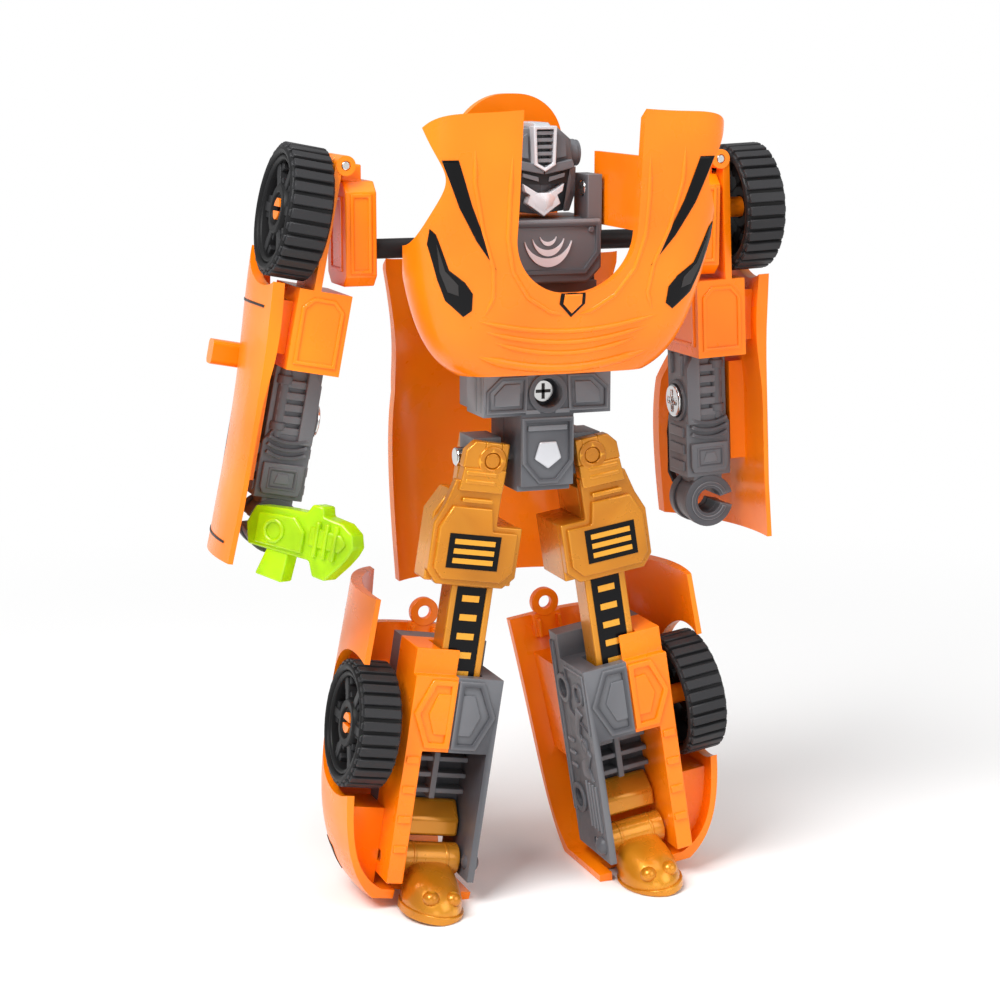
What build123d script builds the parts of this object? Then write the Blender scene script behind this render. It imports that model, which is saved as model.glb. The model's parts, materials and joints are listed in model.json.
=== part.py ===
from build123d import *
import os
from math import cos, radians, sin

# A toy sports coupe that turns into a robot, modelled at rest as the robot.
# Every piece is first drawn in the car's place, where Z runs from tail to nose and
# height(v) gives Y from the height above the car's ground. It is then moved to its
# place on the standing robot. +X is the robot's left, and the robot faces -Y.

# ---- driving sizes, millimetres ----
wheel_d = 20.0
ground_y = -wheel_d / 2   # the plane that the car rolls on
wheel_w = 7.0
wheel_outer_x = 24.2
front_axle_z = 108.0
rear_axle_z = 34.0
shell_wall = 1.6
seam = 0.3                # gap between neighbouring body panels
arch_gap = 1.4            # wheel to wheel arch
run = 0.05                # radial clearance of a pin in its bore
side_gap = 0.3            # clearance between moving faces

flip_z = 112.0            # chest hinge
flip_v = 5.0
seam_angle = 124.0        # hood rear edge, seen from the chest hinge
tongue_half = 9.0
tongue_end_z = 126.0
tongue_corner = 8.2
flip_pin_r = 1.2
flip_pin_x = (6.9, 10.6)
flip_ear_x = (9.7, 10.4)
ear_x = (6.9, 9.2)
roof_half = 15.0
roof_rear_z = 47.0
cowl_half = 19.5
cowl_z = 99.0
windshield_top_z = 78.0
door_rear_z = 55.0

spine_half = 9.2
spine_low_z = 80.0
girdle_z = (98.0, 107.6)
girdle_v = (5.4, 16.0)
spine_v = (4.5, 16.0)
split_v = 9.0             # between the torso's front and back halves
abdomen_half = 10.4
abdomen_z = (78.0, 84.6)
abdomen_v = 1.4
pelvis_half = 4.3
pelvis_z = (66.0, 78.0)
neck_half = 8.8
neck_z = (98.0, 107.6)
neck_v = (1.6, 5.4)
head_half = 6.2
head_z = (107.9, 122.0)
head_v = (3.2, 14.0)

pin_r = 1.5
screw_hole_z = 81.4
screw_places = [(-6.6, 80.6), (6.6, 80.6), (0.0, 101.5)]
shoulder_z = 103.5
shoulder_split = 2.2      # each shoulder pin lies this far before or behind the middle
shoulder_v = 10.0
arm_slide = 15.0
block_x = (10.6, 15.4)
block_z = (98.0, 113.6)
block_v = (5.6, 15.6)
knuckle_x = 15.3
knuckle_z = 116.0
knuckle_r = 1.5
knuckle_pin_r = 0.7
knuckle_v = (5.4, 14.6)
knuckle_mid_v = (8.4, 11.6)
arm_plate_x = (15.7, 16.8)
tyre_gap = 0.8            # tyre to the top of the upper arm
upper_arm_z = (85.0, front_axle_z - wheel_d / 2 - tyre_gap)
upper_arm_v = (5.6, 19.0)
fore_x = (10.8, 19.2)
fore_v = (11.2, 19.4)
fore_z = (64.5, 85.0)
hand_x = 15.0
hand_z = 60.5
hand_r = 4.3
grip_r = 2.0
gun_arm_tilt = 11.0
free_arm_tilt = 2.5
blaster_out = 8.2         # from the fist's middle to the door's outer face

hip_x = 8.2
hip_z = 71.0
hip_v = 9.0
hip_pin_r = 1.5
hip_cross_r = 1.2
hip_block = (2.2, 3.3, 3.2)   # half sizes along X, Y and Z
thigh_x = (1.2, 16.2)
thigh_v = (3.0, 15.0)
thigh_side_v = 10.4       # the outer part is shallower, to pass under the arm
thigh_z = (51.0, 74.0)
fork_x = (5.5, 16.2)
fork_low_z = 61.0
fork_gap_z = 66.0
fork_wall = 2.4
shaft_x = (4.4, 11.4)
shaft_v = (4.6, 10.2)
shaft_low_z = 31.0
leg_slide = 7.0
leg_spread = 9.0

shin_x = (1.2, 15.6)
shin_v = (2.6, 16.0)
shin_z = (15.6, 48.0)
toe_x = (2.6, 12.6)
shin_split_x = 8.6
shin_wall_v = 12.4
hex_low_z = 32.0
hex_top_z = 44.0
ankle_top_z = 22.0
toe_pivot_z = 13.4
toe_pivot_v = 8.0
toe_pin_r = 1.0
toe_high = 7.1
toe_long = 12.0
toe_round = 2.6
axle_r = 1.6
axle_short = 0.8
hub_r = 3.9
rim_r = 7.7
spokes = 6
tread_count = 30
hip_axle_half = 12.4
fore_screw_r = 2.6

# The car's outline: Z, half width, shoulder (x, v), roof edge (x, v), top v, sill v.
stations = [
    (7.0, 17.0, 16.0, 17.0, 9.5, 20.6, 21.4, 6.2),
    (12.0, 21.0, 19.6, 19.6, 11.5, 24.2, 25.2, 5.4),
    (34.0, 24.2, 22.4, 22.4, 13.0, 29.6, 31.0, 5.4),
    (50.0, 23.8, 21.9, 22.8, 13.6, 33.4, 35.0, 5.4),
    (66.0, 23.2, 21.5, 23.0, 14.2, 35.8, 38.0, 5.4),
    (80.0, 23.2, 21.6, 22.8, 14.6, 32.6, 34.8, 5.4),
    (99.0, 24.0, 22.3, 21.6, 15.6, 23.0, 24.2, 5.4),
    (112.0, 24.2, 22.3, 20.0, 15.0, 21.4, 22.2, 5.4),
    (126.0, 22.6, 20.6, 17.0, 13.0, 18.4, 19.1, 6.2),
    (134.0, 20.0, 18.2, 14.6, 11.5, 16.0, 16.6, 7.2),
    (139.0, 15.0, 13.6, 12.6, 9.0, 13.8, 14.2, 8.0),
]
far = 80.0


def height(v):
    return ground_y + v


def block(x, v, z, side=1, mode=Mode.ADD):
    """A box between two values along X, height and Z, on one side of the middle."""
    middle = (side * (x[0] + x[1]) / 2, height((v[0] + v[1]) / 2), (z[0] + z[1]) / 2)
    with Locations(middle):
        Box(x[1] - x[0], v[1] - v[0], z[1] - z[0], mode=mode)


def rod_x(x, v, z, radius, side=1, mode=Mode.ADD):
    """A cylinder along X."""
    with Locations(Location((side * (x[0] + x[1]) / 2, height(v), z), (0, 90, 0))):
        Cylinder(radius, x[1] - x[0], mode=mode)


def rod_y(x, v, z, radius, side=1, mode=Mode.ADD):
    """A cylinder along Y."""
    with Locations(Location((side * x, height((v[0] + v[1]) / 2), z), (90, 0, 0))):
        Cylinder(radius, v[1] - v[0], mode=mode)


def outline(row, z, wall, floor):
    """One cross section of the car, drawn wall inside its outer surface."""
    _, half, belt_x, belt_v, edge_x, edge_v, top_v, sill_v = row
    low = floor if floor is not None else sill_v
    right = [
        (half - 0.7 - wall, height(low)),
        (half - wall, height((sill_v + belt_v) / 2)),
        (belt_x - wall, height(belt_v - 0.6 * wall)),
        (edge_x - 0.5 * wall, height(edge_v - 0.95 * wall)),
    ]
    left = [(-x, y) for x, y in reversed(right)]
    with BuildSketch(Plane.XY.offset(z)) as section:
        with BuildLine():
            Spline(right + [(0, height(top_v - wall))] + left)
            Line(left[-1], right[0])
        make_face()
    return section.sketch


def seam_wedge(start, end):
    """A prism about the chest hinge, between two angles from the nose's direction."""
    steps = 6
    turns = [start + (end - start) * i / steps for i in range(steps + 1)]
    rim = [
        (height(flip_v + far * sin(radians(a))), flip_z + far * cos(radians(a))) for a in turns
    ]
    with BuildSketch(Plane.YZ, mode=Mode.PRIVATE) as wedge:
        with BuildLine():
            Polyline([(height(flip_v), flip_z)] + rim, close=True)
        make_face()
    return extrude(wedge.sketch, amount=far, both=True, mode=Mode.PRIVATE)


def plan_prism(points, grow, low_v):
    """A prism along Y over a symmetrical outline of (x, z) points."""
    half = [(x + grow, z) for x, z in points]
    with BuildSketch(Plane.XZ, mode=Mode.PRIVATE) as plan:
        with BuildLine():
            Polyline(half + [(-x, z) for x, z in reversed(half)], close=True)
        make_face()
    lower = height(low_v)
    return Pos(0, lower + far, 0) * extrude(plan.sketch, amount=far, mode=Mode.PRIVATE)


def tongue_prism(grow):
    """The rounded tongue of the hood, from the windshield's foot to its tip."""
    length = tongue_end_z - windshield_top_z + 2 * grow
    with BuildSketch(Plane.XZ, mode=Mode.PRIVATE) as plan:
        with Locations((0, windshield_top_z + length / 2 - grow)):
            Rectangle(2 * (tongue_half + grow), length)
        fillet(plan.vertices().group_by(Axis.Z)[-1], tongue_corner + grow)
    return Pos(0, height(13.0) + far, 0) * extrude(plan.sketch, amount=far, mode=Mode.PRIVATE)


def roof_prism(grow):
    points = [
        (roof_half, roof_rear_z - grow),
        (roof_half, windshield_top_z),
        (cowl_half, cowl_z),
        (cowl_half, cowl_z + 6),
    ]
    return plan_prism(points, grow, 19.0)


def arch(z, v, radius, side):
    """The cylinder that a wheel turns in, from inside the wheel to outside the body."""
    inner = wheel_outer_x - wheel_w - 1.2
    rod_x((inner, inner + 20), v, z, radius, side, Mode.SUBTRACT)


# ---- places of the bodies on the standing robot ----
def about(x, v, z, turn):
    return Pos(x, height(v), z) * turn * Pos(-x, -height(v), -z)


chest_place = about(0, flip_v, flip_z, Rot(180, 0, 0))


def arm_place(side):
    return Pos(side * arm_slide, 0, 0)


def forearm_place(side):
    tilt = gun_arm_tilt if side < 0 else free_arm_tilt
    return arm_place(side) * about(side * knuckle_x, 0, knuckle_z, Rot(0, -side * tilt, 0))


def thigh_place(side):
    return about(side * hip_x, 0, hip_z, Rot(0, -side * leg_spread, 0))


def shin_place(side):
    return thigh_place(side) * Pos(0, 0, -leg_slide)


finished = []


def keep(piece, label, place=Location()):
    """Moves a finished piece to its place on the robot and lists it."""
    piece.part.move(place)
    piece.part.label = label
    finished.append(piece)


os.makedirs("parts", exist_ok=True)
sides = {"left": 1, "right": -1}

# ---- the car's skin and the space inside it ----
with BuildPart() as outer:
    loft([outline(row, row[0], 0, None) for row in stations])

inner_z = [row[0] for row in stations]
inner_z[0] += shell_wall
inner_z[-1] -= 1.4 * shell_wall
with BuildPart() as cavity:
    loft([outline(row, z, shell_wall, 0.0) for row, z in zip(stations, inner_z)])

with BuildPart() as skin:
    add(outer.part)
    add(cavity.part, mode=Mode.SUBTRACT)

roof_side = roof_prism(0)
behind_seam = seam_wedge(seam_angle + 1.0, 200.0)
ahead_of_seam = seam_wedge(-12.0, seam_angle)

# ---- chest: hood, bumper and front fenders ----
with BuildPart() as chest_ears:
    for side in sides.values():
        block(flip_ear_x, (flip_v - 2.0, 30), (flip_z - 5.5, flip_z + 5.5), side)
    add(cavity.part, mode=Mode.INTERSECT)
with BuildPart() as chest:
    add(skin.part)
    add(ahead_of_seam, mode=Mode.INTERSECT)
    add(tongue_prism(seam + 0.1), mode=Mode.SUBTRACT)
    for side in sides.values():
        arch(front_axle_z, -ground_y, wheel_d / 2 + arch_gap, side)
        arch(2 * flip_z - front_axle_z, 2 * flip_v + ground_y, wheel_d / 2 + 1.0, side)
    add(chest_ears.part)
    for side in sides.values():
        rod_x((8, 12), flip_v, flip_z, flip_pin_r + run, side, Mode.SUBTRACT)
keep(chest, "chest_shell", chest_place)

with BuildPart() as flip_pins:
    for side in sides.values():
        rod_x(flip_pin_x, flip_v, flip_z, flip_pin_r, side)
keep(flip_pins, "chest_hinge_pins")

# ---- roof: cowl, windshield, roof and the hood's tongue ----
with BuildPart() as tongue:
    add(skin.part)
    add(tongue_prism(0), mode=Mode.INTERSECT)
with BuildPart() as roof_post:
    block((-5, 5), (spine_v[1], 60), (spine_low_z + 5, cowl_z - 3))
    add(cavity.part, mode=Mode.INTERSECT)
with BuildPart() as roof_plate:
    add(skin.part)
    add(roof_side, mode=Mode.INTERSECT)
    add(behind_seam, mode=Mode.INTERSECT)
    add(tongue.part)
    add(roof_post.part)
keep(roof_plate, "roof_plate")

# ---- torso ----
with BuildPart() as torso:
    block((-spine_half, spine_half), spine_v, (abdomen_z[0], girdle_z[0]))
    block((-spine_half, spine_half), girdle_v, (girdle_z[0], girdle_z[1]))
    block((-abdomen_half, abdomen_half), (abdomen_v, spine_v[0] + 4.5), abdomen_z)
    block((-pelvis_half, pelvis_half), (thigh_v[0], spine_v[1] - 1), (pelvis_z[0], abdomen_z[0]))
    block((-pelvis_half, pelvis_half), (abdomen_v, thigh_v[0]), (pelvis_z[0] + 1, abdomen_z[0]))
    for side in sides.values():
        block(ear_x, (flip_v - 2.4, girdle_v[0] + 3), (girdle_z[1] - 2, flip_z + 2.2), side)
        rod_x((0, 12), flip_v, flip_z, flip_pin_r + 0.02, side, Mode.SUBTRACT)
        pin_v = shoulder_v + side * shoulder_split
        rod_x((-12, 12), pin_v, shoulder_z, pin_r + run, side, Mode.SUBTRACT)
    rod_x((-12, 12), hip_v, hip_z, hip_pin_r + 0.02, 1, Mode.SUBTRACT)
    rod_y(0, (0, 4.2), screw_hole_z, 2.2, 1, Mode.SUBTRACT)
    for x, z in screw_places:
        rod_y(x, (spine_v[1] - 1.4, spine_v[1] + 1), z, 1.9, 1, Mode.SUBTRACT)
with BuildPart() as torso_front:
    add(torso.part)
    block((-30, 30), (split_v, 60), (0, 150), 1, Mode.SUBTRACT)
keep(torso_front, "torso_front")
with BuildPart() as torso_back:
    add(torso.part)
    block((-30, 30), (-20, split_v), (0, 150), 1, Mode.SUBTRACT)
keep(torso_back, "torso_back")
with BuildPart() as torso_screws:
    for x, z in screw_places:
        rod_y(x, (spine_v[1] - 1.4, spine_v[1] - 0.4), z, 1.8)
        with Locations((x, height(spine_v[1] - 0.4), z)):
            Box(2.4, 0.7, 0.6, mode=Mode.SUBTRACT)
            Box(0.6, 0.7, 2.4, mode=Mode.SUBTRACT)
keep(torso_screws, "torso_screws")

with BuildPart() as hip_axle:
    rod_x((-hip_axle_half, hip_axle_half), hip_v, hip_z, hip_pin_r)
keep(hip_axle, "hip_axle")

with BuildPart() as badge:
    with BuildSketch(Plane.XZ.offset(-height(abdomen_v))):
        with Locations((0, pelvis_z[0] + 6.0)):
            RegularPolygon(2.3, 5, rotation=-90)
    extrude(amount=0.5)
keep(badge, "pelvis_badge")

# ---- neck and head ----
with BuildPart() as neck:
    block((-neck_half, neck_half), neck_v, neck_z)
    chamfer(neck.edges().filter_by(Axis.Y).group_by(Axis.Z)[0], 2.2)
    for side in sides.values():
        block((ear_x[0] - side_gap, 12), (flip_v - 2.4 - side_gap, 8),
              (girdle_z[1] - 2 - side_gap, 130), side, Mode.SUBTRACT)
keep(neck, "neck_block")
with BuildPart() as neck_rings:
    with BuildSketch(Plane.XZ.offset(-height(neck_v[0]))):
        for inner in (1.6, 3.9, 6.2):
            with Locations((0, neck_z[1] - 0.4)):
                Circle(inner + 1.0)
                Circle(inner, mode=Mode.SUBTRACT)
        with Locations((0, neck_z[1] - 0.4 + 10)):
            Rectangle(40, 20, mode=Mode.SUBTRACT)
    extrude(amount=0.35)
keep(neck_rings, "neck_rings")

with BuildPart() as head:
    block((-head_half, head_half), (head_v[0] + 0.8, head_v[1]), (head_z[0], head_z[1] - 1.8))
    chamfer(head.edges().filter_by(Axis.Z), 1.8)
    chamfer(head.faces().sort_by(Axis.Z)[-1].edges(), 1.3)
    for side in sides.values():
        rod_x((head_half - 0.4, head_half + 1.3), 8.6, 117.2, 2.1, side)
keep(head, "head")
with BuildPart() as crest:
    block((-2.7, 2.7), (head_v[0] - 0.6, head_v[0] + 0.8), (115.6, 121.6))
    block((-1.7, 1.7), (head_v[0] - 1.0, head_v[0] + 0.4), (116.4, 120.6), 1, Mode.SUBTRACT)
    block((-1.3, 1.3), (head_v[0] + 0.8, head_v[0] + 8), (head_z[1] - 1.78, head_z[1]))
keep(crest, "head_crest")
with BuildPart() as visor:
    block((-4.4, 4.4), (head_v[0] - 0.2, head_v[0] + 0.78), (112.7, 115.2))
keep(visor, "visor")
with BuildPart() as mask:
    block((-3.4, 3.4), (head_v[0] - 0.6, head_v[0] + 0.78), (108.1, 112.4))
    chamfer(mask.edges().filter_by(Axis.Y).group_by(Axis.Z)[0], 1.3)
keep(mask, "face_mask")

# ---- one wheel, drawn about Z with its outer face up ----
with BuildPart() as wheel:
    Cylinder(wheel_d / 2, wheel_w)
    fillet(wheel.edges().filter_by(GeomType.CIRCLE), 0.9)
    with Locations((0, 0, wheel_w / 2)):
        Cylinder(rim_r, 1.8, mode=Mode.SUBTRACT)
    with Locations((0, 0, -wheel_w / 2)):
        Cylinder(rim_r + 0.4, 7.6, mode=Mode.SUBTRACT)
    Cylinder(hub_r, wheel_w - 0.6)
    with PolarLocations((hub_r + rim_r) / 2 + 0.2, spokes, start_angle=180 / spokes):
        Cylinder(1.75, 20, mode=Mode.SUBTRACT)
    Cylinder(axle_r + run, 20, mode=Mode.SUBTRACT)
    with PolarLocations(wheel_d / 2, tread_count):
        Box(0.8, 0.75, 20, mode=Mode.SUBTRACT)


def wheel_set(side, end, root_x, z, place):
    """A wheel and the split pin that it turns on, which stands on a face at root_x."""
    flat = Rot(0, 90 * side, 0)
    with BuildPart() as tyre:
        add(wheel.part)
    middle = side * (wheel_outer_x - wheel_w / 2)
    keep(tyre, f"{end}_wheel", place * Pos(middle, height(wheel_d / 2), z) * flat)
    tip_x = wheel_outer_x - axle_short
    with BuildPart() as pin:
        Cylinder(axle_r, tip_x - root_x)
        with Locations((0, 0, (tip_x - root_x) / 2)):
            Box(0.7, 9, 5.0, mode=Mode.SUBTRACT)
    pin_middle = side * (tip_x + root_x) / 2
    keep(pin, f"{end}_axle", place * Pos(pin_middle, height(wheel_d / 2), z) * flat)


# ---- arms ----
def make_arm(name, side):
    pin_v = shoulder_v + side * shoulder_split
    with BuildPart() as shoulder_pin:
        rod_x((-spine_half + 0.2, block_x[1] - 0.8), pin_v, shoulder_z, pin_r, side)
    keep(shoulder_pin, f"{name}_shoulder_pin", arm_place(side))

    with BuildPart() as shoulder:
        block(block_x, block_v, block_z, side)
        chamfer(shoulder.edges().filter_by(Axis.X), 1.6)
        block((block_x[0] + 1.5, knuckle_x - 0.1), knuckle_mid_v, (block_z[1] - 1, knuckle_z), side)
        rod_y(knuckle_x, knuckle_mid_v, knuckle_z, knuckle_r, side)
        rod_x((0, block_x[1] - 0.5), pin_v, shoulder_z, pin_r + run, side, Mode.SUBTRACT)
        rod_y(knuckle_x, (0, 20), knuckle_z, knuckle_pin_r + run, side, Mode.SUBTRACT)
    keep(shoulder, f"{name}_shoulder_block", arm_place(side))

    with BuildPart() as knuckle_pin:
        rod_y(knuckle_x, knuckle_v, knuckle_z, knuckle_pin_r, side)
    keep(knuckle_pin, f"{name}_knuckle_pin", arm_place(side))

    place = forearm_place(side)
    with BuildPart() as upper_arm:
        block(arm_plate_x, block_v, (upper_arm_z[1] - 2, knuckle_z - 0.2), side)
        block((arm_plate_x[0] - 1, arm_plate_x[1] + 1), (knuckle_mid_v[0] - side_gap,
              knuckle_mid_v[1] + side_gap), (knuckle_z - 2.2, 130), side, Mode.SUBTRACT)
        for ends in ((knuckle_v[0], knuckle_mid_v[0] - side_gap),
                     (knuckle_mid_v[1] + side_gap, knuckle_v[1])):
            rod_y(knuckle_x, ends, knuckle_z, knuckle_r, side)
        block((fore_x[0], fore_x[1] - 0.2), upper_arm_v, upper_arm_z, side)
        rod_y(knuckle_x, (0, 20), knuckle_z, knuckle_pin_r + 0.02, side, Mode.SUBTRACT)
    keep(upper_arm, f"{name}_upper_arm", place)

    with BuildPart() as ribs:
        block((fore_x[1], 30), (12.5, 18), (67, 83), side)
        block((fore_x[1] - 0.2, 30), (8, 17), (87, 95), side)
        add(cavity.part, mode=Mode.INTERSECT)
    with BuildPart() as door:
        add(skin.part)
        add(behind_seam, mode=Mode.INTERSECT)
        add(roof_prism(seam), mode=Mode.SUBTRACT)
        block((-10, 60), (-10, 60), (-20, door_rear_z), side, Mode.SUBTRACT)
        block((-60, 1), (-10, 60), (0, 150), side, Mode.SUBTRACT)
        arch(front_axle_z, -ground_y, wheel_d / 2 + arch_gap, side)
        add(ribs.part)
    keep(door, f"{name}_door", place)

    with BuildPart() as mirror:
        block((20.6, 26.2), (22.4, 25.6), (82.6, 86.4), side)
        fillet(mirror.edges().filter_by(Axis.X), 0.8)
        add(outer.part, mode=Mode.SUBTRACT)
    keep(mirror, f"{name}_mirror", place)

    with BuildPart() as forearm:
        block(fore_x, fore_v, fore_z, side)
        rod_y(hand_x, (fore_v[0] + 0.8, fore_v[1] - 0.8), hand_z, hand_r, side)
        block((hand_x - 2.6, hand_x + 2.6), (fore_v[0] + 0.8, fore_v[1] - 0.8),
              (hand_z, fore_z[0]), side)
        rod_y(hand_x, (0, 40), hand_z, grip_r, side, Mode.SUBTRACT)
        block((hand_x, hand_x + 8), (0, 40), (hand_z - 1.0, hand_z + 1.0), side, Mode.SUBTRACT)
        rod_x((fore_x[0] - 1, fore_x[0] + 0.9), 15.3, 77.0, fore_screw_r + 0.1, side, Mode.SUBTRACT)
    keep(forearm, f"{name}_forearm", place)

    with BuildPart() as fore_screw:
        rod_x((fore_x[0] - 0.5, fore_x[0] + 0.9), 15.3, 77.0, fore_screw_r, side)
        with Locations((side * (fore_x[0] - 0.5), height(15.3), 77.0)):
            Box(1.2, 3.4, 0.9, mode=Mode.SUBTRACT)
            Box(1.2, 0.9, 3.4, mode=Mode.SUBTRACT)
    keep(fore_screw, f"{name}_arm_screw", place)
    wheel_set(side, f"{name}_front", arm_plate_x[1], front_axle_z, place)


# ---- legs ----
def shaft_channel(side):
    """The open channel that the thigh's shaft slides in."""
    block((shaft_x[0] - side_gap, shaft_x[1] + side_gap), (shaft_v[0] - side_gap, shaft_v[1] + side_gap),
          (shaft_low_z - 1, 60), side, Mode.SUBTRACT)


def make_leg(name, side):
    with BuildPart() as hip:
        half_x, half_v, half_z = hip_block
        block((hip_x - half_x, hip_x + half_x), (hip_v - half_v, hip_v + half_v),
              (hip_z - half_z, hip_z + half_z), side)
        rod_x((0, 20), hip_v, hip_z, hip_pin_r + run, side, Mode.SUBTRACT)
        rod_y(hip_x, (0, 20), hip_z, hip_cross_r + run, side, Mode.SUBTRACT)
    keep(hip, f"{name}_hip_block")
    with BuildPart() as hip_pins:
        rod_y(hip_x, (thigh_v[0] + 0.2, hip_v - hip_pin_r - 0.4), hip_z, hip_cross_r, side)
        rod_y(hip_x, (hip_v + hip_pin_r + 0.4, thigh_v[1] - 0.2), hip_z, hip_cross_r, side)
    keep(hip_pins, f"{name}_hip_pins")

    place = thigh_place(side)
    with BuildPart() as thigh:
        block(thigh_x, thigh_v, (thigh_z[0], fork_low_z), side)
        block(fork_x, thigh_v, (fork_low_z, thigh_z[1]), side)
        block((0, 20), (thigh_v[0] + fork_wall, thigh_v[1] - fork_wall), (fork_gap_z, 90),
              side, Mode.SUBTRACT)
        block((hip_x + 2.0, 20), (thigh_side_v, 20), (0, 90), side, Mode.SUBTRACT)
        block(shaft_x, shaft_v, (shaft_low_z, thigh_z[0]), side)
        rod_y(hip_x, (0, 20), hip_z, hip_cross_r + 0.02, side, Mode.SUBTRACT)
    keep(thigh, f"{name}_thigh", place)

    place = shin_place(side)
    toe_back_v = toe_pivot_v + toe_round + side_gap
    with BuildPart() as shin:
        block((shin_x[0], shin_split_x), (shin_v[0], shin_v[1]), (hex_low_z, hex_top_z), side)
        block(shin_x, (shin_wall_v, shin_v[1]), (shin_z[0], shin_z[1]), side)
        block((shin_x[0], toe_x[0] - side_gap), shin_v, (toe_pivot_z - 2.2, hex_low_z), side)
        shaft_channel(side)
        rod_x((0, 20), toe_pivot_v, toe_pivot_z, toe_pin_r + 0.02, side, Mode.SUBTRACT)
        for z in (20.0, 39.0):
            rod_x((0, shin_x[0] + 0.6), 12.4, z, 1.5, side, Mode.SUBTRACT)
    keep(shin, f"{name}_shin", place)
    with BuildPart() as frame:
        block((shin_split_x, shin_x[1]), (shin_v[0], shin_wall_v), (hex_low_z, hex_top_z), side)
        block((toe_x[1] + side_gap, shin_x[1]), (shin_v[0], shin_wall_v), (shin_z[0] - 5, hex_low_z), side)
        block((shin_split_x, shin_x[1]), (shin_v[0] + 1.4, shin_wall_v), (hex_top_z, shin_z[1]), side)
        shaft_channel(side)
        rod_x((0, 20), toe_pivot_v, toe_pivot_z, toe_pin_r + 0.02, side, Mode.SUBTRACT)
    keep(frame, f"{name}_shin_frame", place)
    with BuildPart() as ankle:
        block((toe_x[0], toe_x[1]), (toe_back_v - 2.0, shin_wall_v), (toe_pivot_z + 3.2, ankle_top_z), side)
        chamfer(ankle.edges().filter_by(Axis.X).group_by(Axis.Z)[-1].sort_by(Axis.Y)[0], 2.6)
    keep(ankle, f"{name}_ankle", place)

    with BuildPart() as quarter_rib:
        block((3, 13), (shin_v[1], 50), (24, 40), side)
        block((shin_x[1], 22), (8.5, 15.8), (8.6, 21.0), side)
        add(cavity.part, mode=Mode.INTERSECT)
    with BuildPart() as quarter:
        add(skin.part)
        add(roof_prism(seam), mode=Mode.SUBTRACT)
        block((-60, 60), (-10, 60), (door_rear_z - seam, 200), side, Mode.SUBTRACT)
        block((-60, seam / 2), (-10, 60), (-10, 150), side, Mode.SUBTRACT)
        block((-1, roof_half + seam), (19, 60), (roof_rear_z - 1.0, 60), side, Mode.SUBTRACT)
        arch(rear_axle_z, -ground_y, wheel_d / 2 + arch_gap, side)
        block((toe_x[0] - side_gap, toe_x[1] + side_gap), (-10, toe_pivot_v + toe_round + side_gap),
              (0, toe_pivot_z + 4), side, Mode.SUBTRACT)
        add(quarter_rib.part)
    trim(quarter, place)
    keep(quarter, f"{name}_quarter", place)

    with BuildPart() as toe:
        block(toe_x, (toe_pivot_v - toe_long, toe_pivot_v), (toe_pivot_z - toe_high, toe_pivot_z),
              side)
        chamfer(toe.edges().filter_by(Axis.X).sort_by(Axis.Y)[0], 1.2)
        rod_x(toe_x, toe_pivot_v, toe_pivot_z, toe_round, side)
        block(toe_x, (toe_pivot_v - 1, toe_pivot_v + toe_round), (toe_pivot_z - toe_high,
              toe_pivot_z), side)
        rod_x((0, 20), toe_pivot_v, toe_pivot_z, toe_pin_r + run, side, Mode.SUBTRACT)
    trim(toe, place)
    keep(toe, f"{name}_toe", place)
    with BuildPart() as toe_pin:
        rod_x((shin_x[0] + 0.2, shin_x[1] - 0.2), toe_pivot_v, toe_pivot_z, toe_pin_r, side)
    keep(toe_pin, f"{name}_toe_pin", place)
    wheel_set(side, f"{name}_rear", shin_x[1], rear_axle_z, place)


def trim(piece, place):
    """Cuts a foot flat where it meets the floor."""
    floor = place.inverse() * Pos(0, 0, -far / 2) * Box(4 * far, 4 * far, far, mode=Mode.PRIVATE)
    piece.part = piece.part - floor


for name, side in sides.items():
    make_arm(name, side)
    make_leg(name, side)

# ---- blaster, in the right hand ----
with BuildPart() as blaster:
    rod_y(hand_x, (4, fore_v[1]), hand_z, grip_r - 0.06, -1)
    outer_end = hand_x + blaster_out - shell_wall
    block((hand_x - 7.0, outer_end), (4.5, 9.5), (hand_z - 3, hand_z + 2.2), -1)
    block((hand_x - 4, hand_x + 2), (5, 9), (hand_z - 7, hand_z - 3), -1)
    block((hand_x - 6, hand_x + 5), (5.2, 8.8), (hand_z + 2.2, hand_z + 4.4), -1)
keep(blaster, "blaster", forearm_place(-1))

# ---- the origin is under the middle of the standing robot ----
boxes = [piece.part.bounding_box() for piece in finished]
low_x, high_x = min(box.min.X for box in boxes), max(box.max.X for box in boxes)
low_y, high_y = min(box.min.Y for box in boxes), max(box.max.Y for box in boxes)
centre = Pos(-(low_x + high_x) / 2, -(low_y + high_y) / 2, -min(box.min.Z for box in boxes))
print("moved by", centre.position)
for piece in finished:
    piece.part.move(centre)
    export_step(piece.part, f"parts/{piece.part.label}.step")
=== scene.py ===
import json
from math import cos, pi, radians, sin

import bmesh
import bpy
from mathutils import Matrix, Vector
from mathutils.bvhtree import BVHTree

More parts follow.
